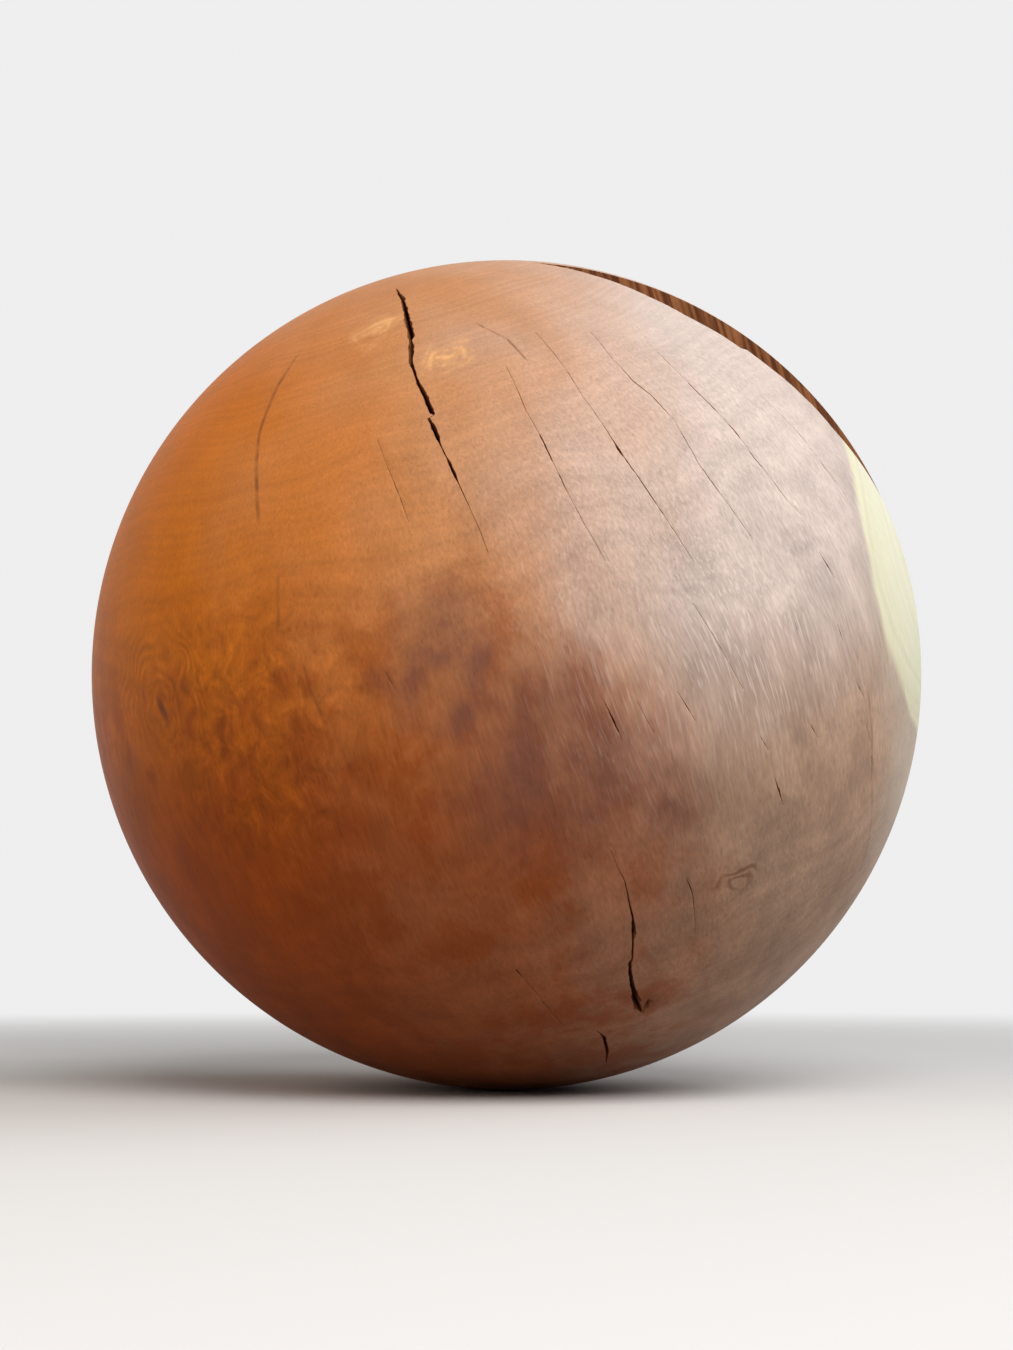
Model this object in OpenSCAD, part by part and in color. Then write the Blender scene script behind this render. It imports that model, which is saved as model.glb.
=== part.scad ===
// Solid wooden ball, turned from the heart of a log and cracked along the grain as it dried.
// Origin at the ball's centre, +Z up, the front of the ball towards -Y. Millimetres.
// Places on the ball are given about the grain: a turn from the front towards the right,
// and a rise from the ball's waist towards the upper end of the grain.

/* [Ball] */
// Diameter of the ball
ball_d = 400; // [300:5:500]

/* [Grain] */
// Lean of the grain to the left, in degrees
grain_lean = 19; // [0:1:30]
// Nod of the grain's upper end to the front, in degrees
grain_nod = 19; // [0:1:30]

/* [Wide split] */
// Turn of the split around the grain, in degrees
split_turn = 71.5; // [50:0.5:130]
// Rise of the middle of the split's mouth, in degrees
split_rise = 37; // [30:1:45]
// Lean of the split's upper tip to the left of the grain, in degrees
split_lean = 7; // [0:1:12]
// Length of the mouth, straight from tip to tip
split_l = 205; // [120:5:220]
// Width of the mouth at its middle
split_w = 38; // [20:1:39]
// Share of the mouth's curve on its left side
split_bow = 0.85; // [0.5:0.05:0.95]
// Depth of the split under the middle of its mouth
split_depth = 110; // [60:5:140]

/* [Upper crack] */
// Turn of the upper crack around the grain, in degrees
upper_turn = 0; // [-20:1:20]
// Rise of the middle of the upper crack, in degrees
upper_rise = 50; // [40:1:60]
// Length of the upper crack, straight from tip to tip
upper_l = 170; // [100:5:200]
// Greatest width of the upper crack
upper_w = 4; // [2:0.5:8]
// Depth of the upper crack
upper_depth = 45; // [15:1:90]

/* [Lower crack] */
// Turn of the lower crack around the grain, in degrees
lower_turn = 2; // [-20:1:20]
// Rise of the middle of the lower crack, in degrees
lower_rise = -26.5; // [-50:0.5:-20]
// Length of the lower crack, straight from tip to tip
lower_l = 95; // [50:5:140]
// Greatest width of the lower crack
lower_w = 4.5; // [2:0.5:8]
// Depth of the lower crack
lower_depth = 35; // [15:1:90]

/* [Fine checks] */
// Width of a fine check at its middle
check_w = 1.2; // [0.6:0.1:2]
// Depth of a fine check
check_depth = 8; // [3:1:20]

/* [Hidden] */
$fn = 128;

ball_r = ball_d / 2;

// Lines of the two jagged cracks, from the lower tip to the upper tip.
// Each station holds its share of the length, its shift sideways in widths, and its share of the width.
upper_line = [
    [-0.50, -0.1, 0.0],
    [-0.38, -0.2, 0.2],
    [-0.30, -0.6, 0.5],
    [-0.22, -0.8, 0.3],
    [-0.16, -0.9, 0.6],
    [-0.12, -1.1, 0.4],
    [-0.10, -0.5, 0.5],
    [-0.05, -0.6, 0.8],
    [ 0.02, -0.8, 0.7],
    [ 0.09, -0.6, 0.8],
    [ 0.13, -0.3, 0.7],
    [ 0.20,  0.5, 0.9],
    [ 0.27,  0.9, 1.0],
    [ 0.35,  1.0, 0.7],
    [ 0.42,  1.2, 0.3],
    [ 0.50,  1.2, 0.0]
];
lower_line = [
    [-0.50, -0.6, 0.1],
    [-0.41, -0.9, 1.0],
    [-0.31, -1.0, 0.8],
    [-0.15, -0.9, 0.5],
    [-0.05, -0.3, 0.3],
    [ 0.06,  0.4, 0.5],
    [ 0.17,  0.6, 0.4],
    [ 0.29,  0.7, 0.3],
    [ 0.50,  0.4, 0.0]
];

// Fine checks: turn, rise of the lower tip, rise of the upper tip
fine_checks = [
    [-10,  31,  44],
    [ 13,  28,  48],
    [ 23,  16,  50],
    [ 33,  17,  48],
    [ 41,  17,  44],
    [ 55,  13,  30],
    [ 44,   1,  10],
    [  7,  -1,   5],
    [ 25, -16, -12],
    [ 43, -16, -12],
    [ 11, -28, -18],
    [-12, -39, -25],
    [ -7, -54, -41]
];

// How far a cutter stands out of the ball, so that it leaves no skin
clear = 20;

// How far the split's tips lie below the middle of its mouth
tip_drop = ball_r - sqrt(ball_r * ball_r - split_l * split_l / 4);
// Slope of each wall of the split, and the curve that both walls need together to meet at the tips
wall_slope = atan(split_w / 2 / split_depth);
wall_curve = split_w * (1 - tip_drop / split_depth) * cos(wall_slope);

// Carries its children to a place on the ball: +Z points out of the ball and +Y along the grain
module on_grain(turn, rise) {
    rotate([grain_nod, -grain_lean, 0])
        rotate([0, 0, turn])
            rotate([90 - rise, 0, 0])
                children();
}

// Right wall of the wide split, as part of a large cylinder that clears the ball at both ends
module split_wall(curve) {
    radius = (split_l * split_l / 4 + curve * curve) / (2 * curve);
    reach = clear + radius * tan(wall_slope);
    translate([split_w / 2 - radius / cos(wall_slope), 0, 0])
        rotate([0, wall_slope, 0])
            translate([0, 0, -split_depth - reach])
                cylinder(r = radius, h = split_depth + 2 * reach);
}

// The wide split: two sloping round walls that meet at its root and at its tips
module split_gap() {
    translate([0, 0, ball_r])
        intersection() {
            split_wall((1 - split_bow) * wall_curve);
            mirror([1, 0, 0]) split_wall(split_bow * wall_curve);
        }
}

// One side of a crack's outline
function crack_side(line, length, width, side) =
    [for (station = line) [(station[1] + side * station[2] / 2) * width, station[0] * length]];

// The stations in the opposite order
function reversed(line) = [for (i = [len(line) - 1 : -1 : 0]) line[i]];

// Keeps only what lies in the ball's outer layer of a given depth
module outer_layer(depth) {
    difference() {
        children();
        sphere(r = ball_r - depth);
    }
}

// A jagged crack with steep sides
module crack_gap(line, length, width, depth) {
    left = crack_side(line, length, width, -1);
    right = crack_side(reversed(line), length, width, 1);
    outer_layer(depth)
        linear_extrude(height = ball_r + clear)
            polygon(concat(left, right));
}

// A fine check, pointed at both tips
module check_gap(arc) {
    half_l = ball_r * sin(arc / 2);
    outer_layer(check_depth)
        linear_extrude(height = ball_r + clear)
            polygon([[0, -half_l], [check_w / 2, 0], [0, half_l], [-check_w / 2, 0]]);
}

module ball() {
    color("#a8744c")
        difference() {
            sphere(r = ball_r);
            on_grain(split_turn, split_rise) rotate([0, 0, split_lean]) split_gap();
            on_grain(upper_turn, upper_rise) crack_gap(upper_line, upper_l, upper_w, upper_depth);
            on_grain(lower_turn, lower_rise) crack_gap(lower_line, lower_l, lower_w, lower_depth);
            for (check = fine_checks)
                on_grain(check[0], (check[1] + check[2]) / 2) check_gap(check[2] - check[1]);
        }
}

ball();
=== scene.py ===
import math

import bmesh
import bpy
from mathutils import Euler, Matrix, Vector, noise


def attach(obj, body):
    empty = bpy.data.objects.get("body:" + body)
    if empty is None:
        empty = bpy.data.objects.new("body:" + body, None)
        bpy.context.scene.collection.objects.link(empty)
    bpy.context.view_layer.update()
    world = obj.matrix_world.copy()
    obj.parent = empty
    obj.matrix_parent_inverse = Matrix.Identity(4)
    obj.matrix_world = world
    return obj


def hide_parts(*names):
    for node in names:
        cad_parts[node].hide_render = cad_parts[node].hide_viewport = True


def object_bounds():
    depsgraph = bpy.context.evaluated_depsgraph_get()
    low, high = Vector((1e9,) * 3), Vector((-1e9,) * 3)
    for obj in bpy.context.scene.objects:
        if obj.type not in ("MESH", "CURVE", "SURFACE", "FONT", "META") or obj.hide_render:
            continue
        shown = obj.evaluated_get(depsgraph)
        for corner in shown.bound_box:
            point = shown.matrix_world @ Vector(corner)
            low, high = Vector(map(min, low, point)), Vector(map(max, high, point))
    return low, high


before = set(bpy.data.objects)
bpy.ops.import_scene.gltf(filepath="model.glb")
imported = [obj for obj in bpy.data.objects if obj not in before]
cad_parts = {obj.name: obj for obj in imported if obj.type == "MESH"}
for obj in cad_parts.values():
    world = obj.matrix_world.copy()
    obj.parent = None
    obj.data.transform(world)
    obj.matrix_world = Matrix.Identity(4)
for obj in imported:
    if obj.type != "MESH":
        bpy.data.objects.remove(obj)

# A turned wooden ball, cracked along the grain. Metres and degrees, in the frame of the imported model.
# Places on the ball are given about the grain: a turn from the front towards the right,
# and a rise from the ball's waist towards the upper end of the grain.
MM = 0.001

# Ball and grain
CAD_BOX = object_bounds()
BALL_R = (CAD_BOX[1].z - CAD_BOX[0].z) / 2
# Fineness of the ball's mesh: each step divides every face in four
BALL_CUTS = 7
GRAIN_TILT = (math.radians(19), math.radians(-19), 0)
GRAIN = Euler(GRAIN_TILT).to_matrix()
# How far below the ball's round a face lies to count as the wall of a crack
SKIN_GAP = 0.06 * MM
# Edges that turn by more than this stay crisp
CRISP_ANGLE = math.radians(35)

# Wide split: place of its middle, lean against the grain, length, width,
# share of the curve that its left lip has, and depth
SPLIT_TURN = 71.5
SPLIT_RISE = 37
SPLIT_LEAN = 7
SPLIT_L = 205 * MM
SPLIT_W = 38 * MM
SPLIT_BOW = 0.85
SPLIT_DEPTH = 110 * MM
# Steps along the split and down its walls, where levels lie closer together towards the mouth
SPLIT_STATIONS = 210
SPLIT_LEVELS = 46
SPLIT_CROWDING = 1.4
# How far the cutter stands out of the mouth and runs past each tip
SPLIT_OVER = 8 * MM
SPLIT_PAST = 5 * MM
# Torn fibres on the walls of the split: size across the grain, size along it, and height, in mm
COARSE_TEAR = (9, 70, 1.0)
FINE_TEAR = (2.2, 35, 0.4)
LEFT_TEAR_SEED = 11
RIGHT_TEAR_SEED = 23
# Width of the gap from which the tearing has its full height, and least width of the cutter
TEAR_W = 6 * MM
SPLIT_LEAST_W = 0.1 * MM
# Depth over which the stray of the left lip dies away
LIP_DEPTH = 12 * MM
# How the split's left lip strays to the right, in mm, at distances along the mouth
LEFT_LIP = [(-104, -4.0), (-68, -3.5), (-52, -4.5), (-40, -1.2), (-28, 0.5), (1, 0.8), (4, -3.2),
            (17, -2.6), (33, -4.6), (49, -2.5), (70, 0.0), (104, 1.0)]

# Cracks, as stations of rise, turn and width in mm, from the upper tip to the lower tip
UPPER_CRACK = [
    (75.3, 5.6, 0.3), (72.5, 4.6, 1.4), (70.4, 4.7, 2.4), (69.3, 3.9, 1.9), (63.9, 2.1, 2.5),
    (61.2, 1.5, 3.1), (59.4, 1.0, 2.9), (58.4, 0.4, 1.6), (57.3, 0.2, 2.6), (54.5, -1.3, 2.1),
    (53.0, -1.3, 1.2), (50.1, -1.4, 1.3), (48.2, -1.0, 2.6), (44.8, -0.9, 2.1), (44.4, -0.6, 0.4),
    (44.2, -1.7, 1.2), (42.1, -1.4, 2.1), (41.0, -1.4, 1.6), (40.2, -1.4, 0.8), (38.0, -1.1, 0.5),
    (36.8, -1.0, 1.4), (35.7, -0.9, 1.4), (34.3, -0.8, 0.5), (31.2, -0.5, 0.3), (27.8, -0.2, 0.2),
    (24.9, -0.2, 0.15),
]
LOWER_CRACK = [
    (-12.5, 2.4, 0.15), (-14.7, 2.6, 0.3), (-17.1, 3.0, 0.5), (-20.8, 2.8, 0.8), (-22.3, 2.8, 1.0),
    (-25.2, 2.4, 2.1), (-25.8, 2.1, 0.9), (-28.8, 1.4, 1.0), (-29.5, 0.9, 1.7), (-31.2, 0.6, 1.5),
    (-35.0, 0.4, 2.7), (-37.2, 0.5, 3.7), (-38.7, 0.5, 3.7), (-40.2, 0.9, 0.6),
]
RECESS = [(-37.7, 2.4, 0.5), (-38.6, 2.3, 4.6), (-39.7, 1.5, 2.2), (-40.4, 1.0, 0.4)]
SMALL_CRACK = [
    (-41.0, -7.0, 0.3), (-42.3, -6.6, 0.8), (-43.8, -6.4, 1.5), (-48.0, -7.0, 1.4), (-52.5, -8.4, 0.3),
]

# Fine checks, as stations of rise, turn and width in mm
FINE_CHECKS = [
    [(43.5, -10.7, 0.2), (37.6, -9.6, 0.4), (35.0, -9.2, 0.6), (31.5, -8.8, 0.2)],
    [(48.0, 14.6, 0.2), (40.5, 13.0, 0.5), (37.0, 12.9, 0.7), (33.6, 12.6, 0.8), (29.4, 12.4, 0.5),
     (24.8, 12.5, 0.35), (19.4, 13.0, 0.2)],
    [(52.0, 24.8, 0.25), (45.7, 23.7, 0.45), (39.8, 22.5, 0.5), (33.2, 22.2, 0.45), (31.4, 22.1, 1.2),
     (29.3, 22.2, 0.6), (22.9, 22.7, 0.6), (15.5, 23.6, 0.25)],
    [(48.7, 34.4, 0.25), (43.6, 32.6, 0.45), (39.2, 32.1, 0.6), (36.6, 32.8, 0.6), (32.6, 33.0, 0.5),
     (26.1, 31.8, 0.45), (22.7, 32.0, 0.6), (15.5, 33.0, 0.25)],
    [(44.0, 42.2, 0.25), (39.9, 41.3, 0.5), (35.2, 40.9, 0.6), (27.6, 41.4, 0.7), (24.0, 41.2, 0.7),
     (17.3, 42.1, 0.4), (15.0, 43.2, 0.2)],
    [(29.5, 53.2, 0.25), (23.5, 54.4, 0.5), (18.2, 54.7, 0.6), (14.0, 55.7, 0.2)],
    [(-19.8, 10.6, 0.2), (-21.0, 10.9, 0.8), (-22.5, 11.1, 0.5), (-27.0, 10.9, 0.3), (-28.5, 10.7, 0.2)],
    [(-24.8, -13.7, 0.9), (-26.5, -13.3, 0.2), (-30.5, -12.5, 0.2), (-31.5, -12.4, 0.9),
     (-33.0, -12.2, 0.2), (-35.5, -11.8, 0.8), (-38.5, -11.3, 0.2)],
]
# Short dashes, as rise and turn of the upper tip, rise and turn of the lower tip, and width in mm
DASHES = [
    (10.0, 43.0, 6.3, 43.8, 0.8), (11.2, 21.2, -0.3, 23.6, 0.4), (4.8, 6.8, -0.4, 7.4, 1.0),
    (2.6, 15.4, -1.3, 16.4, 0.5), (3.2, 10.4, -0.8, 11.2, 0.4), (1.2, 41.2, -1.0, 41.3, 0.5),
    (-6.6, 42.1, -8.9, 43.1, 0.7), (-12.4, 42.9, -15.2, 43.7, 0.9), (-17.1, 43.7, -18.4, 44.1, 0.6),
    (-6.6, 24.2, -8.5, 24.9, 0.9), (-8.2, 32.1, -10.2, 32.9, 0.8), (-12.2, 25.1, -16.2, 25.8, 1.1),
    (15.3, -16.3, 12.9, -15.6, 0.6),
]
# Width of a dash at its tips, in mm
DASH_TIP_W = 0.2

CRACK_DEPTH = 30 * MM
CHECK_DEPTH = 8 * MM
RECESS_DEPTH = 4 * MM
# Least width and depth of a crack, where it closes to a hairline
HAIRLINE_W = 0.26 * MM
HAIRLINE_DEPTH = 0.3 * MM
# A crack has its full depth where it is at least this wide
FULL_DEPTH_W = 2 * MM
# How a crack narrows with depth, as shares of its depth and of its width
CRACK_LEVELS = [(0.0, 1.0), (0.06, 0.75), (0.25, 0.5), (0.6, 0.3), (1.0, 0.05)]
# Step along a crack, least number of steps, and how far its cutter stands out of the ball
CRACK_STEP = 0.7 * MM
CRACK_LEAST_STEPS = 8
CLEAR = 3 * MM
# Seed of the first fine check, how many seeds each crack draws on, and how far they lie apart in the noise
CHECK_SEED = 20
CRACK_SEEDS = 3
SEED_APART = 7.31
# Raggedness of an edge as a share of the width, and the length over which it changes
EDGE_JAG = 0.25
EDGE_JAG_L = 2.3 * MM
# Wander of the whole line, and the length over which it changes
LINE_JAG = 0.12 * MM
LINE_JAG_L = 4 * MM
# How far a fine check is open on the whole, how much that varies, and over what length
CHECK_OPEN = 0.9
CHECK_OPEN_SPREAD = 3.0
CHECK_OPEN_L = 5 * MM

# Colours of the wood, as linear red, green and blue, some of them with painted light and shade in them
# The six broad colours are partly the wood's own tone and partly painted light: the left ones hold painted
# warm light, the upper right one a painted sheen, and the upper ones are lighter and the lower ones darker
# partly as painted light and shade from above
UPPER_LEFT = (0.53, 0.143, 0.006)
UPPER_MIDDLE = (0.51, 0.233, 0.099)
# Pale pinkish tan of the wood, paled further by a painted sheen
UPPER_RIGHT_AND_SHEEN = (0.60, 0.485, 0.430)
LOWER_LEFT = (0.335, 0.064, 0.006)
LOWER_MIDDLE = (0.34, 0.102, 0.036)
LOWER_RIGHT = (0.435, 0.275, 0.188)
RED_PATCH = (0.29, 0.058, 0.008)
STAIN = (0.19, 0.073, 0.048)
PALE_BAND = (0.62, 0.52, 0.42)
BRIGHT_KNOT = (0.80, 0.42, 0.17)
DARK_LINE = (0.14, 0.045, 0.014)
# Silvery flecks: pale fibres of the wood, lightened further by a painted sheen
SILVER = (0.80, 0.66, 0.58)
SAPWOOD = (0.78, 0.76, 0.57)
SAP_EDGE = (0.74, 0.70, 0.49)
WALL_DARK = (0.14, 0.044, 0.016)
WALL_PALE = (0.40, 0.16, 0.062)
OIL_SHINE = 0.1
WALL_ROUGHNESS = 0.65
# Height of the relief on the skin and inside the cracks
SKIN_RELIEF = 0.08 * MM
WALL_RELIEF = 0.5 * MM

# Dark stains, as turn, rise and size
STAINS = [
    (-7, 18, 0.013), (-10, 16, 0.011), (-6, 13, 0.011), (-14.5, 13, 0.009), (-8, 8.5, 0.011),
    (-3, 7, 0.014), (3, 6, 0.014), (-4, 2, 0.018), (-5, -2.5, 0.020), (3.5, -1, 0.020),
    (-1, -6, 0.015), (11, -10, 0.010),
]
# Red patches, as turn, rise and size
RED_SPOTS = [
    (-21.5, 5, 0.011), (-26, -0.5, 0.017), (-29, 9.5, 0.015), (-38, 7, 0.011), (-46, 14.5, 0.007),
    (-30.5, 17, 0.008), (-26.5, 17, 0.007), (-35, -12, 0.018),
]
# Bright knots, as turn, rise and size
BRIGHT_KNOTS = [(-8, 63.3, 0.012), (7, 53.3, 0.013)]
# Brown lines in the grain, each with its width, its strength, and stations of rise and turn
BROWN_LINES = [
    (0.0015, 0.65, [(66, -31), (62.7, -32.2), (57.8, -33.9), (50.6, -34.5), (46.3, -33.7), (41.8, -32.6),
                    (36, -31.5)]),
    (0.0009, 0.6, [(58, 16.0), (56.4, 16.6), (52.7, 18.7), (47.2, 18.7)]),
    (0.0014, 0.35, [(-6, 44.5), (-20, 44.0), (-30, 46.2), (-38, 46.8)]),
    (0.0014, 0.4, [(30, -28.5), (26, -28.8), (23, -29.2)]),
    (0.0014, 0.4, [(19, -26.4), (15, -26.0), (12, -25.2)]),
]
# Places of single features, as turn and rise
FIGURE = (-36, 12)
SWIRL = (-51, 16.5)
# Middle of the painted shade in and about the recess
RECESS_SHADE = (2.4, -38.8)
KNOT_WOOD = (4.0, -37.5)
CURL = (17.8, -23.8)
# Middle of a painted shimmer, a glint of light that brightens the silvery flecks
SHIMMER = (29, 6)
# Turn at which the paler band low on the right starts, and its strength
BAND_TURN = 45
BAND_STRENGTH = 0.75
# The curl's loop, the arch over it, and half the width of their lines
CURL_R = 6.5 * MM
CURL_ARCH_R = 10.5 * MM
CURL_LINE = 1.9 * MM
# Sapwood: shift of the pith to the left, distance from it at which the sapwood starts,
# lean, bow and raggedness of the line between heart and sapwood, and width of the change of tone beside it
PITH_SHIFT = 0.42 * BALL_R
SAP_START = 270.5 * MM
SAP_LEAN = -0.024
SAP_BOW = 0.8
SAP_RAGGED = 2.0 * MM
SAP_BLEND = 6.5 * MM

# Stage: the floor's size, and the distances between which it turns into the backdrop
FLOOR_R = 12.0
FLOOR_SIDES = 96
FLOOR_FADE = (0.4, 1.8)
# Colours of the floor and the backdrop as they are seen, and as they light the ball
FLOOR_SEEN = (0.80, 0.79, 0.78)
FLOOR_BOUNCE = (0.40, 0.38, 0.36)
BACKDROP = (0.86, 0.86, 0.86)
ROOM_LIGHT = (0.16, 0.16, 0.16)
# Lamps, each with its place, size, power and colour
LAMPS = {
    "key": ((0.45, -1.45, 1.25), 1.4, 33, (1.0, 0.99, 0.98)),
    "side": ((1.75, 0.20, 1.20), 1.8, 20, (0.96, 0.98, 1.0)),
    "fill": ((-1.6, -0.9, 0.8), 1.5, 8.5, (1.0, 0.86, 0.70)),
}
# Camera, with its lens and sensor in mm
CAMERA_PLACE = Vector((0, -4.806, -0.713)) * BALL_R
CAMERA_LENS = 52.6
CAMERA_SENSOR = 36


# Shapes
def grain_point(turn, rise, depth=0.0):
    """The point at a place on the ball, sunk by a depth towards its centre, about the grain."""
    t = math.radians(turn)
    r = math.radians(rise)
    outwards = Vector((math.sin(t) * math.cos(r), -math.cos(t) * math.cos(r), math.sin(r)))
    return outwards * (BALL_R - depth)


def on_ball(turn, rise, depth=0.0):
    """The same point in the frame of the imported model."""
    return GRAIN @ grain_point(turn, rise, depth)


def placed(name, data):
    """A new object with the given data, in the scene."""
    thing = bpy.data.objects.new(name, data)
    bpy.context.scene.collection.objects.link(thing)
    return thing


def along(stations, rise):
    """Turn and width of a line of stations at a rise, straight from station to station."""
    for upper, lower in zip(stations, stations[1:]):
        if upper[0] >= rise >= lower[0]:
            share = (upper[0] - rise) / (upper[0] - lower[0])
            return [a + (b - a) * share for a, b in zip(upper[1:], lower[1:])]
    return list(stations[-1][1:])


def loft(name, rings):
    """A closed mesh through rings of points, capped at both ends."""
    count = len(rings[0])
    points = [point for ring in rings for point in ring]
    faces = [list(range(count))[::-1], list(range(len(points) - count, len(points)))]
    for i in range(len(rings) - 1):
        for k in range(count):
            near, far = i * count, (i + 1) * count
            after = (k + 1) % count
            faces.append([near + k, near + after, far + after, far + k])
    mesh = bpy.data.meshes.new(name)
    mesh.from_pydata(points, [], faces)
    shape = bmesh.new()
    shape.from_mesh(mesh)
    bmesh.ops.triangulate(shape, faces=shape.faces)
    bmesh.ops.recalc_face_normals(shape, faces=shape.faces)
    shape.to_mesh(mesh)
    shape.free()
    return placed(name, mesh)


def jag(run, seed, length):
    """A repeatable wander between about -1 and 1 along a line."""
    return noise.noise(Vector((run / length, seed * SEED_APART, 0.5)))


def open_share(run, seed):
    """How far a fine check is open along its line: nought where it closes to a hairline."""
    return min(1.0, max(0.0, CHECK_OPEN + CHECK_OPEN_SPREAD * jag(run, seed, CHECK_OPEN_L)))


def crack_cutter(name, stations, depth, seed, closing=False):
    """The gap of one crack: ragged along its edges, narrowing to a root, a hairline where it closes."""
    per_degree = math.radians(BALL_R)
    top, bottom = stations[0][0], stations[-1][0]
    steps = max(CRACK_LEAST_STEPS, int((top - bottom) * per_degree / CRACK_STEP))
    rings = []
    for i in range(steps + 1):
        rise = top + (bottom - top) * i / steps
        run = rise * per_degree
        opened = open_share(run, seed + 2) if closing else 1.0
        turn, width = along(stations, rise)
        width = max(HAIRLINE_W, width * MM * opened)
        full = max(HAIRLINE_DEPTH, depth * min(1.0, (width / FULL_DEPTH_W) ** 2))
        shift = LINE_JAG * jag(run, seed, LINE_JAG_L)
        left = shift - width * (0.5 + EDGE_JAG * jag(run, seed + 1, EDGE_JAG_L))
        right = shift + width * (0.5 + EDGE_JAG * jag(run, seed + 2, EDGE_JAG_L))
        middle = (left + right) / 2
        to_turn = 1 / (per_degree * math.cos(math.radians(rise)))
        levels = [(-CLEAR, 1.0)] + [(level * full, share) for level, share in CRACK_LEVELS]
        sides = []
        for edge in (left, right):
            sides.append([on_ball(turn + (middle + (edge - middle) * share) * to_turn, rise, down)
                          for down, share in levels])
        rings.append(sides[0] + sides[1][::-1])
    return loft(name, rings)


def split_curve(share):
    """Radius of one wall of the wide split, from its share of the mouth's curve."""
    drop = BALL_R - math.sqrt(BALL_R ** 2 - SPLIT_L ** 2 / 4)
    curve = share * SPLIT_W * (1 - drop / SPLIT_DEPTH)
    return (SPLIT_L ** 2 / 4 + curve ** 2) / (2 * curve)


def split_tear(y, h, seed):
    """How far torn fibres stand out of one wall of the wide split."""
    tilt = math.radians(SPLIT_RISE)
    across = (h * math.cos(tilt) - y * math.sin(tilt)) / MM
    run = (y * math.cos(tilt) + h * math.sin(tilt)) / MM
    torn = 0.0
    for (width, length, height), layer in ((COARSE_TEAR, seed), (FINE_TEAR, seed + 3)):
        torn += height * noise.noise(Vector((across / width, run / length, layer)))
    return torn * MM


def lip_stray(y):
    """How far the left lip strays at a distance along the mouth."""
    for (low, first), (high, second) in zip(LEFT_LIP, LEFT_LIP[1:]):
        if low <= y / MM <= high:
            return (first + (second - first) * (y / MM - low) / (high - low)) * MM
    return 0.0


def split_cutter():
    """The gap of the wide split, with fibres torn along the grain on both walls."""
    place = GRAIN @ Matrix.Rotation(math.radians(SPLIT_TURN), 3, "Z")
    place = place @ Matrix.Rotation(math.radians(90 - SPLIT_RISE), 3, "X")
    place = place @ Matrix.Rotation(math.radians(SPLIT_LEAN), 3, "Z")
    left_r, right_r = split_curve(SPLIT_BOW), split_curve(1 - SPLIT_BOW)
    reach = SPLIT_L / 2 + SPLIT_PAST
    rings = []
    for i in range(SPLIT_STATIONS + 1):
        y = -reach + 2 * reach * i / SPLIT_STATIONS
        left_in = left_r - math.sqrt(left_r ** 2 - y ** 2)
        right_in = right_r - math.sqrt(right_r ** 2 - y ** 2)
        skin = math.sqrt(BALL_R ** 2 - y ** 2) - BALL_R
        root = SPLIT_DEPTH * ((left_in + right_in) / SPLIT_W - 1)
        left, right = [], []
        for k in range(SPLIT_LEVELS + 1):
            h = SPLIT_OVER + (root - SPLIT_OVER) * (k / SPLIT_LEVELS) ** SPLIT_CROWDING
            flat = SPLIT_W / 2 * (1 + h / SPLIT_DEPTH)
            gap = 2 * flat - left_in - right_in
            ease = min(1, gap / TEAR_W)
            lip = math.exp(min(0, h - skin) / LIP_DEPTH)
            x_left = left_in - flat + ease * (split_tear(y, h, LEFT_TEAR_SEED) + lip * lip_stray(y))
            x_right = flat - right_in + ease * split_tear(y, h, RIGHT_TEAR_SEED)
            x_right = max(x_right, x_left + SPLIT_LEAST_W)
            left.append(place @ Vector((x_left, y, BALL_R + h)))
            right.append(place @ Vector((x_right, y, BALL_R + h)))
        rings.append(left + right[::-1])
    return loft("split_gap", rings)


def crack_cutters():
    """The gaps of the split, the cracks, the checks and the dashes."""
    cutters = [
        split_cutter(),
        crack_cutter("upper_crack", UPPER_CRACK, CRACK_DEPTH, seed=1),
        crack_cutter("lower_crack", LOWER_CRACK, CRACK_DEPTH, seed=5),
        crack_cutter("recess", RECESS, RECESS_DEPTH, seed=7),
        crack_cutter("small_crack", SMALL_CRACK, CRACK_DEPTH, seed=9),
    ]
    dashes = []
    for top, first, bottom, last, width in DASHES:
        middle = ((top + bottom) / 2, (first + last) / 2, width)
        dashes.append([(top, first, DASH_TIP_W), middle, (bottom, last, DASH_TIP_W)])
    for i, stations in enumerate(FINE_CHECKS + dashes):
        name = f"fine_check_{i + 1}"
        seed = CHECK_SEED + CRACK_SEEDS * i
        cutters.append(crack_cutter(name, stations, CHECK_DEPTH, seed, closing=True))
    return cutters


def carve(ball, cutters):
    """Cuts each gap out of the ball."""
    for cutter in cutters:
        cut = ball.modifiers.new(cutter.name, "BOOLEAN")
        cut.operation = "DIFFERENCE"
        cut.solver = "MANIFOLD"
        cut.object = cutter
    graph = bpy.context.evaluated_depsgraph_get()
    mesh = bpy.data.meshes.new_from_object(ball.evaluated_get(graph))
    ball.modifiers.clear()
    ball.data = mesh
    for cutter in cutters:
        bpy.data.objects.remove(cutter)


def turned_ball():
    """The ball as a mesh, with every crack cut into it."""
    mesh = bpy.data.meshes.new("turned_ball")
    shape = bmesh.new()
    bmesh.ops.create_icosphere(shape, subdivisions=BALL_CUTS, radius=BALL_R)
    shape.to_mesh(mesh)
    shape.free()
    ball = placed("turned_ball", mesh)
    carve(ball, crack_cutters())
    return ball


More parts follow.
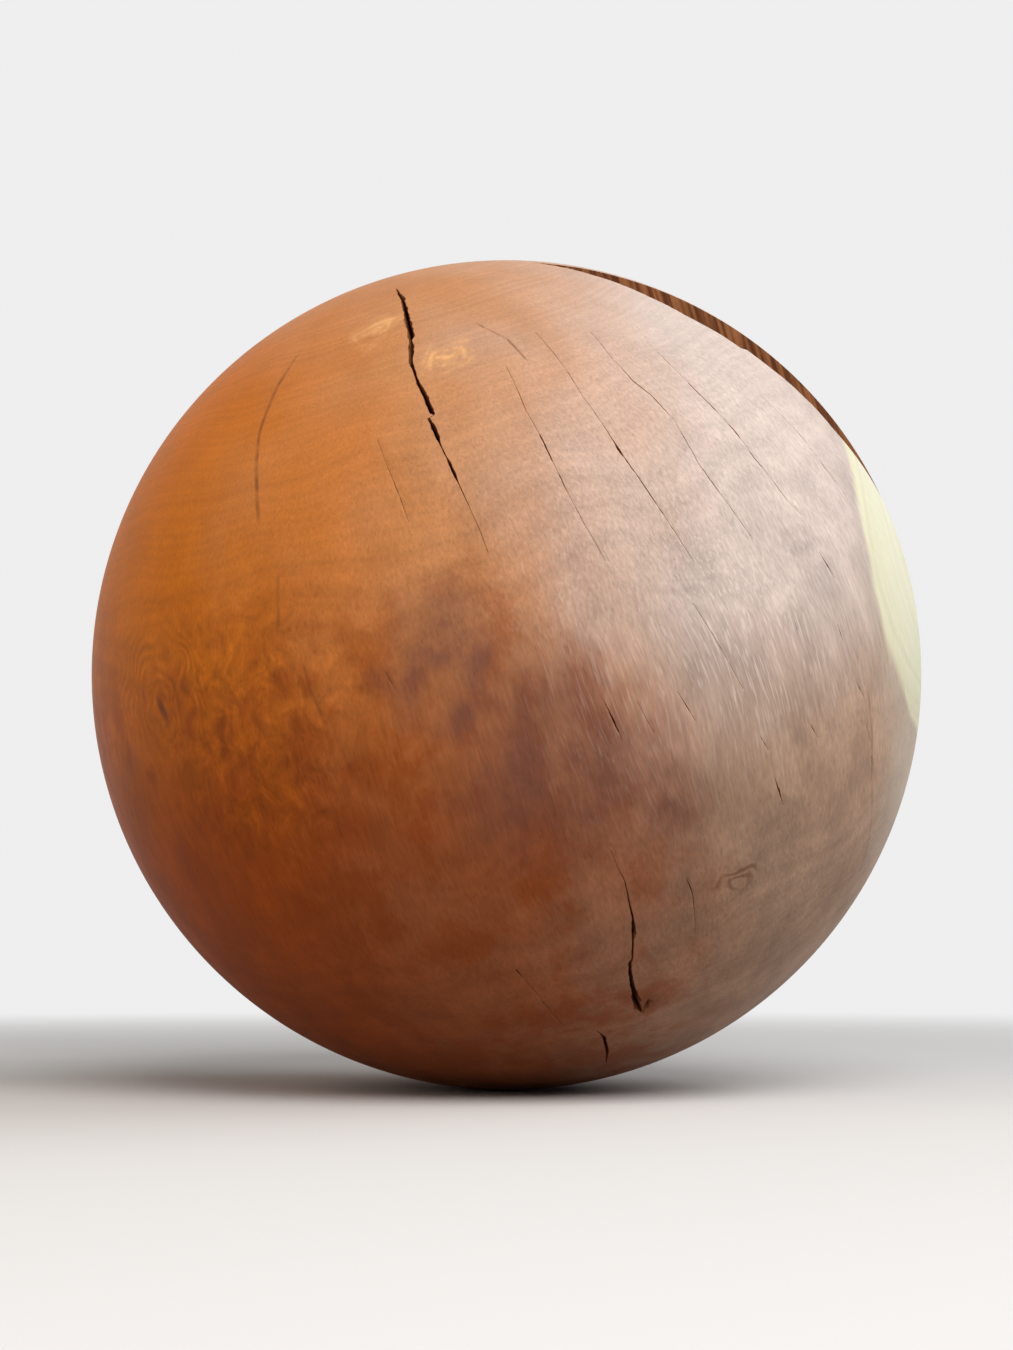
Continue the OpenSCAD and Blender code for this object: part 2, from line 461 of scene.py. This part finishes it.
def dress(ball, skin, wall):
    """Gives the turned skin and the torn walls their materials, and keeps the rims crisp."""
    mesh = ball.data
    mesh.materials.clear()
    mesh.materials.append(skin)
    mesh.materials.append(wall)
    for face in mesh.polygons:
        face.material_index = 1 if face.center.length < BALL_R - SKIN_GAP else 0
        face.use_smooth = True
    shape = bmesh.new()
    shape.from_mesh(mesh)
    for edge in shape.edges:
        edge.smooth = edge.calc_face_angle(0) < CRISP_ANGLE
    shape.to_mesh(mesh)
    shape.free()


# Shader building
class Paint:
    """The nodes of one material or world. Each method adds nodes and gives back their output."""

    def __init__(self, owner):
        owner.use_nodes = True
        self.owner = owner
        self.tree = owner.node_tree
        self.tree.nodes.clear()

    def add(self, kind, inputs=None, **settings):
        """A node with its settings, its inputs linked or set."""
        node = self.tree.nodes.new(kind)
        for key, value in settings.items():
            setattr(node, key, value)
        for key, value in (inputs or {}).items():
            if isinstance(value, bpy.types.NodeSocket):
                self.tree.links.new(value, node.inputs[key])
            else:
                node.inputs[key].default_value = value
        return node

    def math(self, operation, first, second=0.0, third=0.0):
        """A sum on single numbers."""
        inputs = {0: first, 1: second, 2: third}
        return self.add("ShaderNodeMath", inputs, operation=operation).outputs[0]

    def product(self, *values):
        """All the values multiplied together."""
        total = values[0]
        for value in values[1:]:
            total = self.math("MULTIPLY", total, value)
        return total

    def vector(self, operation, first, second=(0, 0, 0)):
        """A sum on places, or the length of one."""
        node = self.add("ShaderNodeVectorMath", {0: first, 1: second}, operation=operation)
        return node.outputs["Value" if operation == "LENGTH" else "Vector"]

    def axes(self, place):
        """The three coordinates of a place."""
        return self.add("ShaderNodeSeparateXYZ", {0: place}).outputs[:]

    def off_axis(self, place):
        """Distance from the grain's axis."""
        return self.vector("LENGTH", self.vector("MULTIPLY", place, (1, 1, 0)))

    def noise(self, place, size, detail=2.0, rough=0.5, stretch=1.0):
        """Cloudy noise of a size in metres, drawn out along the grain by a stretch."""
        drawn = self.vector("MULTIPLY", place, (1 / size, 1 / size, 1 / (size * stretch)))
        inputs = {"Vector": drawn, "Scale": 1.0, "Detail": detail, "Roughness": rough}
        return self.add("ShaderNodeTexNoise", inputs).outputs[0]

    def cloud(self, *settings):
        """The same noise with its middle at nought."""
        return self.math("SUBTRACT", self.noise(*settings), 0.5)

    def layers(self, far, size):
        """Noise that changes only with a distance, for rings of growth."""
        return self.noise(self.add("ShaderNodeCombineXYZ", {0: far}).outputs[0], size, 2.0, 0.6)

    def ramp(self, value, low, high, start=0.0, end=1.0):
        """A smooth step from start to end as the value goes from low to high."""
        inputs = {"Value": value, "From Min": low, "From Max": high, "To Min": start, "To Max": end}
        return self.add("ShaderNodeMapRange", inputs, interpolation_type="SMOOTHSTEP").outputs[0]

    def within(self, value, start, full, fading, end):
        """One from full to fading, nought before start and past end."""
        return self.product(self.ramp(value, start, full), self.ramp(value, end, fading))

    def mix(self, share, first, second):
        """From the first colour to the second by a share."""
        colours = {key: value if isinstance(value, bpy.types.NodeSocket) else (*value, 1)
                   for key, value in ((6, first), (7, second))}
        return self.add("ShaderNodeMix", {0: share, **colours}, data_type="RGBA").outputs[2]

    def times(self, colour, factor):
        """A colour made lighter or darker by a factor."""
        inputs = {0: colour, "Scale": factor}
        return self.add("ShaderNodeVectorMath", inputs, operation="SCALE").outputs[0]

    def lifted(self, colour, *factors):
        """A colour made lighter by a product of factors, and left as it is where that is nought."""
        return self.times(colour, self.math("ADD", self.product(*factors), 1.0))

    def reach(self, place, turn, rise, stretch=1.0, slant=0.0):
        """Distance from a place on the ball, shorter along the grain by a stretch, with a slant."""
        off = self.vector("SUBTRACT", place, grain_point(turn, rise))
        if slant:
            sideways = Matrix.Rotation(math.radians(turn), 3, "Z") @ Vector((slant, 0, 0))
            off = self.vector("ADD", off, self.times(sideways, self.axes(off)[2]))
        return self.vector("LENGTH", self.vector("MULTIPLY", off, (1, 1, 1 / stretch)))

    def spot(self, place, turn, rise, size, fade, stretch=1.0, slant=0.0):
        """One inside a patch at a place on the ball, nought outside it."""
        return self.ramp(self.reach(place, turn, rise, stretch, slant), size + fade, size)

    def rings(self, place, turn, rise, spacing, stretch):
        """Ripples about a place on the ball, from -1 to 1, drawn out along the grain."""
        far = self.reach(place, turn, rise, stretch)
        return self.math("SINE", self.math("MULTIPLY", far, 2 * math.pi / spacing))

    def line(self, place, stations, width):
        """One on a line through stations of rise and turn, nought beside it and past its ends."""
        x, y, z = self.axes(place)
        heights = [BALL_R * math.sin(math.radians(station[0])) for station in reversed(stations)]
        turns = [math.radians(station[1]) for station in reversed(stations)]
        low, high = heights[0], heights[-1]
        margin = 0.01
        left, right = min(turns) - margin, max(turns) + margin
        run = self.add("ShaderNodeMapRange", {"Value": z, "From Min": low, "From Max": high}).outputs[0]
        curve = self.add("ShaderNodeFloatCurve", {"Value": run})
        points = curve.mapping.curves[0].points
        for _ in stations[2:]:
            points.new(0.5, 0.5)
        for point, height, turn in zip(points, heights, turns):
            point.location = ((height - low) / (high - low), (turn - left) / (right - left))
            point.handle_type = "VECTOR"
        curve.mapping.update()
        middle = self.math("MULTIPLY_ADD", curve.outputs[0], right - left, left)
        here = self.math("ARCTAN2", x, self.math("MULTIPLY", y, -1.0))
        apart = self.math("ABSOLUTE", self.math("SUBTRACT", here, middle))
        beside = self.product(apart, self.off_axis(place))
        # Nought at both ends of the line
        inside = self.product(run, self.math("SUBTRACT", 1.0, run))
        return self.product(self.ramp(beside, width, 0.2 * width), self.ramp(inside, 0.0, 0.12))

    def surface(self, colour, roughness, height, relief):
        """An oiled surface with a relief, as the material's outcome."""
        bump = self.add("ShaderNodeBump", {"Height": height, "Distance": relief, "Strength": 1.0})
        inputs = {"Base Color": colour, "Roughness": roughness, "Normal": bump.outputs[0],
                  "Specular IOR Level": OIL_SHINE}
        shader = self.add("ShaderNodeBsdfPrincipled", inputs)
        self.add("ShaderNodeOutputMaterial", {"Surface": shader.outputs[0]})
        return self.owner


def grain_place(paint):
    """Coordinates about the grain: Z along it, its axis at nought, the front towards -Y."""
    place = paint.add("ShaderNodeTexCoord").outputs["Object"]
    inputs = {"Vector": place, "Rotation": GRAIN_TILT}
    return paint.add("ShaderNodeMapping", inputs, vector_type="TEXTURE").outputs[0]


def wander(paint, place, size, push):
    """The place pushed about by soft noise, so that the grain isn't ruled straight."""
    drawn = paint.times(place, 1 / size)
    cloud = paint.add("ShaderNodeTexNoise", {"Vector": drawn, "Scale": 1.0, "Detail": 0.0}).outputs[1]
    centred = paint.vector("SUBTRACT", cloud, (0.5, 0.5, 0.5))
    return paint.vector("ADD", place, paint.times(centred, push))


# Wood
def zones(paint, place):
    """Broad colours: amber to the left, partly painted warm light; pinkish tan to the right, paled above
    by a painted sheen; red brown below, darkened partly by painted shade.
    """
    x, _, z = paint.axes(place)
    cloud = paint.cloud(place, 0.07, 2.0, 0.55, 1.6)
    side = paint.math("MULTIPLY_ADD", cloud, 0.12, paint.math("MULTIPLY_ADD", z, -0.22, x))
    # Towards the left the colours turn amber, deepened by painted warm light; towards the right pinkish
    # tan, paled above by a painted sheen
    left = paint.ramp(side, -0.145, 0.0)
    right = paint.ramp(side, -0.035, 0.105)
    upper = paint.mix(right, paint.mix(left, UPPER_LEFT, UPPER_MIDDLE), UPPER_RIGHT_AND_SHEEN)
    lower = paint.mix(right, paint.mix(left, LOWER_LEFT, LOWER_MIDDLE), LOWER_RIGHT)
    # Towards the bottom the colours turn to the lower ones, which are darker partly as painted shade
    height = paint.math("MULTIPLY_ADD", cloud, -0.06, z)
    slow = paint.ramp(height, 0.115, -0.030)
    quick = paint.ramp(height, 0.035, -0.050)
    below = paint.math("MULTIPLY_ADD", right, paint.math("SUBTRACT", quick, slow), slow)
    return paint.mix(below, upper, lower)


def mottled(paint, place, grain, bent, colour):
    """Lighter and darker clouds, red patches on the left, and feathery figure beside the swirl."""
    x, _, z = paint.axes(place)
    cloud = paint.cloud(grain, 0.020, 4.0, 0.6, 1.8)
    colour = paint.lifted(colour, cloud, paint.ramp(z, 0.10, 0.0, 0.4, 1.05))
    patch = paint.ramp(paint.noise(grain, 0.028, 4.0, 0.66, 1.3), 0.46, 0.62, 0.0, 0.6)
    red = paint.product(patch, paint.ramp(z, 0.12, 0.03), paint.ramp(x, 0.07, -0.02))
    for turn, rise, size in RED_SPOTS:
        spot = paint.spot(bent, turn, rise, 0.3 * size, 1.0 * size)
        red = paint.math("MAXIMUM", red, paint.product(spot, 0.6))
    colour = paint.mix(red, colour, RED_PATCH)
    feather = paint.cloud(bent, 0.006, 3.0, 0.65, 1.6)
    return paint.lifted(colour, feather, paint.spot(grain, *FIGURE, 0.025, 0.055), 1.3)


def ringed(paint, grain, colour):
    """Growth rings about the grain's axis, and long lines along it."""
    ring = paint.layers(paint.off_axis(grain), 3.2 * MM)
    colour = paint.times(colour, paint.ramp(ring, 0.3, 0.7, 0.93, 1.06))
    line = paint.noise(grain, 1.1 * MM, 2.0, 0.6, 70)
    return paint.times(colour, paint.ramp(line, 0.3, 0.7, 0.94, 1.05))


def banded(paint, bent, colour):
    """A paler band low on the right, where the heart begins to turn to sapwood."""
    inputs = {"Vector": bent, "Angle": -math.radians(BAND_TURN)}
    turned = paint.add("ShaderNodeVectorRotate", inputs, rotation_type="Z_AXIS").outputs[0]
    past, behind, z = paint.axes(turned)
    right = paint.product(paint.ramp(past, -0.010, 0.045), paint.ramp(behind, 0.10, -0.02))
    low = paint.within(z, -0.170, -0.080, -0.02, 0.05)
    return paint.mix(paint.product(right, low, BAND_STRENGTH), colour, PALE_BAND)


def stained(paint, grain, bent, colour):
    """Dark smudges about the middle of the front."""
    dark = 0.0
    for turn, rise, size in STAINS:
        dark = paint.math("MAXIMUM", dark, paint.spot(bent, turn, rise, 0.0, 2.2 * size))
    blotch = paint.ramp(paint.noise(grain, 0.014, 4.0, 0.68, 1.4), 0.30, 0.65, 0.42, 0.85)
    return paint.mix(paint.product(dark, blotch), colour, STAIN)


def bright_knots(paint, bent, wave, colour):
    """Bright knots beside the upper crack."""
    for turn, rise, size in BRIGHT_KNOTS:
        patch = paint.spot(bent, turn, rise, 0.1 * size, 1.3 * size)
        share = paint.product(patch, paint.ramp(wave, 0.3, 0.65, 0.0, 0.7))
        colour = paint.mix(share, colour, BRIGHT_KNOT)
        rings = paint.rings(bent, turn, rise, 5.5 * MM, 0.8)
        colour = paint.lifted(colour, rings, paint.ramp(wave, 0.35, 0.6), patch, 0.14)
    return colour


def swirled(paint, place, bent, wave, colour):
    """A swirl on the left: arcs above, and a dark slanted eye."""
    eye = grain_point(*SWIRL)
    above = paint.ramp(paint.axes(place)[2], eye.z - 0.020, eye.z + 0.010, 0.15, 1.0)
    share = paint.product(paint.spot(place, *SWIRL, 0.012, 0.050), above)
    share = paint.product(share, paint.ramp(wave, 0.35, 0.65, 0.02, 0.20))
    colour = paint.lifted(colour, paint.rings(bent, *SWIRL, 5.0 * MM, 1.5), share)
    dark = paint.spot(place, *SWIRL, 0.0005, 0.0035, 2.6, 0.55)
    return paint.mix(paint.product(dark, paint.ramp(wave, 0.3, 0.55, 0.5, 0.9)), colour, DARK_LINE)


def knot_wood_and_recess_shade(paint, bent, colour):
    """Red knot wood beside the recess at the end of the lower crack, and painted shade, a dark spot in and
    about the recess.
    """
    colour = paint.mix(paint.product(paint.spot(bent, *KNOT_WOOD, 0.006, 0.012), 0.4), colour, RED_PATCH)
    # Painted shade in and about the recess
    return paint.mix(paint.product(paint.spot(bent, *RECESS_SHADE, 0.002, 0.008), 0.5), colour, DARK_LINE)


def curled(paint, place, wave, colour):
    """A small curl low on the right: a loop, and an arch over it."""
    far = paint.reach(wander(paint, place, 0.008, 0.009), *CURL, 0.6)
    loop = grain_point(*CURL)
    arch = paint.ramp(paint.axes(place)[2], loop.z - 0.002, loop.z + 0.005)
    strength = paint.ramp(wave, 0.3, 0.6, 0.15, 0.55)
    for radius, kept in ((CURL_R, 1.0), (CURL_ARCH_R, arch)):
        off = paint.math("ABSOLUTE", paint.math("SUBTRACT", far, radius))
        share = paint.product(paint.ramp(off, CURL_LINE, 0.3 * MM), kept, strength)
        colour = paint.mix(share, colour, DARK_LINE)
    return colour


def lined(paint, place, colour):
    """Soft brown lines along the grain."""
    patchy = paint.ramp(paint.noise(place, 0.006, 1.0, 0.6, 2.0), 0.35, 0.6, 0.45, 1.0)
    for width, strength, stations in BROWN_LINES:
        share = paint.product(paint.line(place, stations, width), patchy, strength)
        colour = paint.mix(share, colour, DARK_LINE)
    return colour


def fibred(paint, place, fibre, colour):
    """Fine fibres, clearest about the waist and on the right."""
    x, _, z = paint.axes(place)
    strength = paint.ramp(paint.math("ABSOLUTE", z), 0.10, 0.18, 0.55, 0.20)
    strength = paint.product(strength, paint.ramp(x, -0.09, 0.03, 0.5, 1.0))
    return paint.lifted(colour, paint.math("SUBTRACT", fibre, 0.5), strength)


def silvered(paint, place, grain, colour):
    """Silvery flecks on the right: pale fibres of the wood with a painted sheen on them, brightest about
    the shimmer, a painted glint.
    """
    x, _, z = paint.axes(place)
    fleck = paint.ramp(paint.noise(grain, 1.0 * MM, 1.0, 0.5, 14), 0.54, 0.70)
    right = paint.product(paint.ramp(x, -0.03, 0.08), paint.within(z, -0.07, 0.03, 0.07, 0.15))
    # Painted glint: the flecks grow brighter about the shimmer
    shimmer = paint.spot(place, *SHIMMER, 0.010, 0.050)
    share = paint.math("MULTIPLY_ADD", shimmer, 0.35, paint.product(right, 0.28))
    return paint.mix(paint.product(fleck, share), colour, SILVER)


def pored(paint, place, colour):
    """Small dark pores."""
    pore = paint.noise(place, 0.9 * MM, 1.0, 0.5, 9)
    return paint.times(colour, paint.ramp(pore, 0.28, 0.38, 0.86, 1.0))


def sapped(paint, place, fibre, colour):
    """Pale sapwood on the right, where the ball reaches the outside of the log."""
    z = paint.axes(place)[2]
    from_pith = paint.off_axis(paint.vector("ADD", place, (PITH_SHIFT, 0, 0)))
    edge = paint.math("MULTIPLY_ADD", z, SAP_LEAN, from_pith)
    edge = paint.math("MULTIPLY_ADD", paint.cloud(place, 0.012, 2.0, 0.6, 3), SAP_RAGGED, edge)
    edge = paint.math("ADD", edge, paint.product(z, z, SAP_BOW))
    pale = paint.mix(paint.ramp(edge, SAP_START, SAP_START + SAP_BLEND), SAP_EDGE, SAPWOOD)
    pale = paint.times(pale, paint.ramp(fibre, 0.25, 0.75, 0.94, 1.03))
    pale = paint.times(pale, paint.ramp(paint.layers(from_pith, 1.6 * MM), 0.35, 0.65, 0.93, 1.02))
    colour = paint.times(colour, paint.ramp(edge, SAP_START - SAP_BLEND, SAP_START, 1.0, 0.92))
    return paint.mix(paint.ramp(edge, SAP_START - 0.2 * MM, SAP_START + 1.2 * MM), colour, pale)


def heartwood_skin():
    """The turned and oiled skin of the ball."""
    paint = Paint(bpy.data.materials.new("heartwood_skin"))
    place = grain_place(paint)
    grain = wander(paint, place, 0.05, 0.012)
    bent = wander(paint, place, 0.015, 0.018)
    fibre = paint.noise(place, 1.5 * MM, 2.0, 0.65, 10)
    wave = paint.noise(place, 0.009, 2.0, 0.6)

    colour = zones(paint, place)
    colour = mottled(paint, place, grain, bent, colour)
    colour = ringed(paint, grain, colour)
    colour = banded(paint, bent, colour)
    colour = stained(paint, grain, bent, colour)
    colour = bright_knots(paint, bent, wave, colour)
    colour = swirled(paint, place, bent, wave, colour)
    colour = knot_wood_and_recess_shade(paint, bent, colour)
    colour = curled(paint, place, wave, colour)
    colour = lined(paint, place, colour)
    colour = fibred(paint, place, fibre, colour)
    colour = silvered(paint, place, grain, colour)
    colour = pored(paint, place, colour)
    colour = sapped(paint, place, fibre, colour)
    roughness = paint.ramp(fibre, 0.25, 0.75, 0.46, 0.56)
    return paint.surface(colour, roughness, fibre, SKIN_RELIEF)


def heartwood_wall():
    """Raw torn wood inside the cracks, with painted shade that darkens it the deeper it lies."""
    paint = Paint(bpy.data.materials.new("heartwood_wall"))
    place = grain_place(paint)
    depth = paint.math("SUBTRACT", BALL_R, paint.vector("LENGTH", place))
    streak = paint.noise(place, 2.2 * MM, 4.0, 0.6, 22)
    colour = paint.mix(paint.ramp(streak, 0.35, 0.65), WALL_DARK, WALL_PALE)
    # Painted shade: the walls grow darker with depth into the cracks
    colour = paint.times(colour, paint.ramp(depth, 0.0, 0.07, 1.0, 0.25))
    return paint.surface(colour, WALL_ROUGHNESS, streak, WALL_RELIEF)


# Stage
def seen(paint):
    """One for rays that show the stage, straight or in a reflection, nought for light on the ball."""
    rays = paint.add("ShaderNodeLightPath").outputs
    either = paint.math("MAXIMUM", rays["Is Camera Ray"], rays["Is Glossy Ray"])
    return paint.math("MAXIMUM", either, rays["Is Transmission Ray"])


def pale_floor():
    """A wide pale floor that fades into the backdrop."""
    mesh = bpy.data.meshes.new("floor")
    shape = bmesh.new()
    bmesh.ops.create_circle(shape, cap_ends=True, segments=FLOOR_SIDES, radius=FLOOR_R)
    shape.to_mesh(mesh)
    shape.free()
    floor = placed("floor", mesh)
    floor.location.z = -BALL_R
    paint = Paint(bpy.data.materials.new("pale_floor"))
    place = paint.add("ShaderNodeTexCoord").outputs["Object"]
    far = paint.ramp(paint.vector("LENGTH", place), *FLOOR_FADE)
    tone = paint.mix(seen(paint), FLOOR_BOUNCE, FLOOR_SEEN)
    matt = paint.add("ShaderNodeBsdfDiffuse", {"Color": tone})
    glow = paint.add("ShaderNodeEmission", {"Color": (*BACKDROP, 1), "Strength": 1.0})
    faded = paint.add("ShaderNodeMixShader", {0: far, 1: matt.outputs[0], 2: glow.outputs[0]})
    paint.add("ShaderNodeOutputMaterial", {"Surface": faded.outputs[0]})
    paint.owner.cycles.emission_sampling = "NONE"
    mesh.materials.append(paint.owner)


def backdrop():
    """A pale backdrop that gives only a little light."""
    world = bpy.data.worlds.new("backdrop")
    bpy.context.scene.world = world
    paint = Paint(world)
    light = paint.add("ShaderNodeBackground", {"Color": (*ROOM_LIGHT, 1)})
    shown = paint.add("ShaderNodeBackground", {"Color": (*BACKDROP, 1)})
    choice = paint.add("ShaderNodeMixShader", {0: seen(paint), 1: light.outputs[0], 2: shown.outputs[0]})
    paint.add("ShaderNodeOutputWorld", {"Surface": choice.outputs[0]})


def aimed(thing, place):
    """Puts a lamp or a camera at a place and turns it to the ball's centre."""
    thing.location = place
    thing.rotation_euler = (-Vector(place)).to_track_quat("-Z", "Y").to_euler()
    return thing


def softbox(name, place, size, power, colour):
    """A square soft lamp aimed at the ball."""
    lamp = bpy.data.lights.new(name, "AREA")
    lamp.shape = "SQUARE"
    lamp.size = size
    lamp.energy = power
    lamp.color = colour
    aimed(placed(name, lamp), place)


def photo_camera():
    """A camera a little below the ball's waist, looking up at it."""
    lens = bpy.data.cameras.new("camera")
    lens.sensor_width = CAMERA_SENSOR
    lens.lens = CAMERA_LENS
    bpy.context.scene.camera = aimed(placed("camera", lens), CAMERA_PLACE)


# Scene
ball = turned_ball()
dress(ball, heartwood_skin(), heartwood_wall())
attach(ball, "root")
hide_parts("ball")

pale_floor()
backdrop()
for name, settings in LAMPS.items():
    softbox(name, *settings)
photo_camera()
bpy.context.scene.view_settings.view_transform = "Standard"
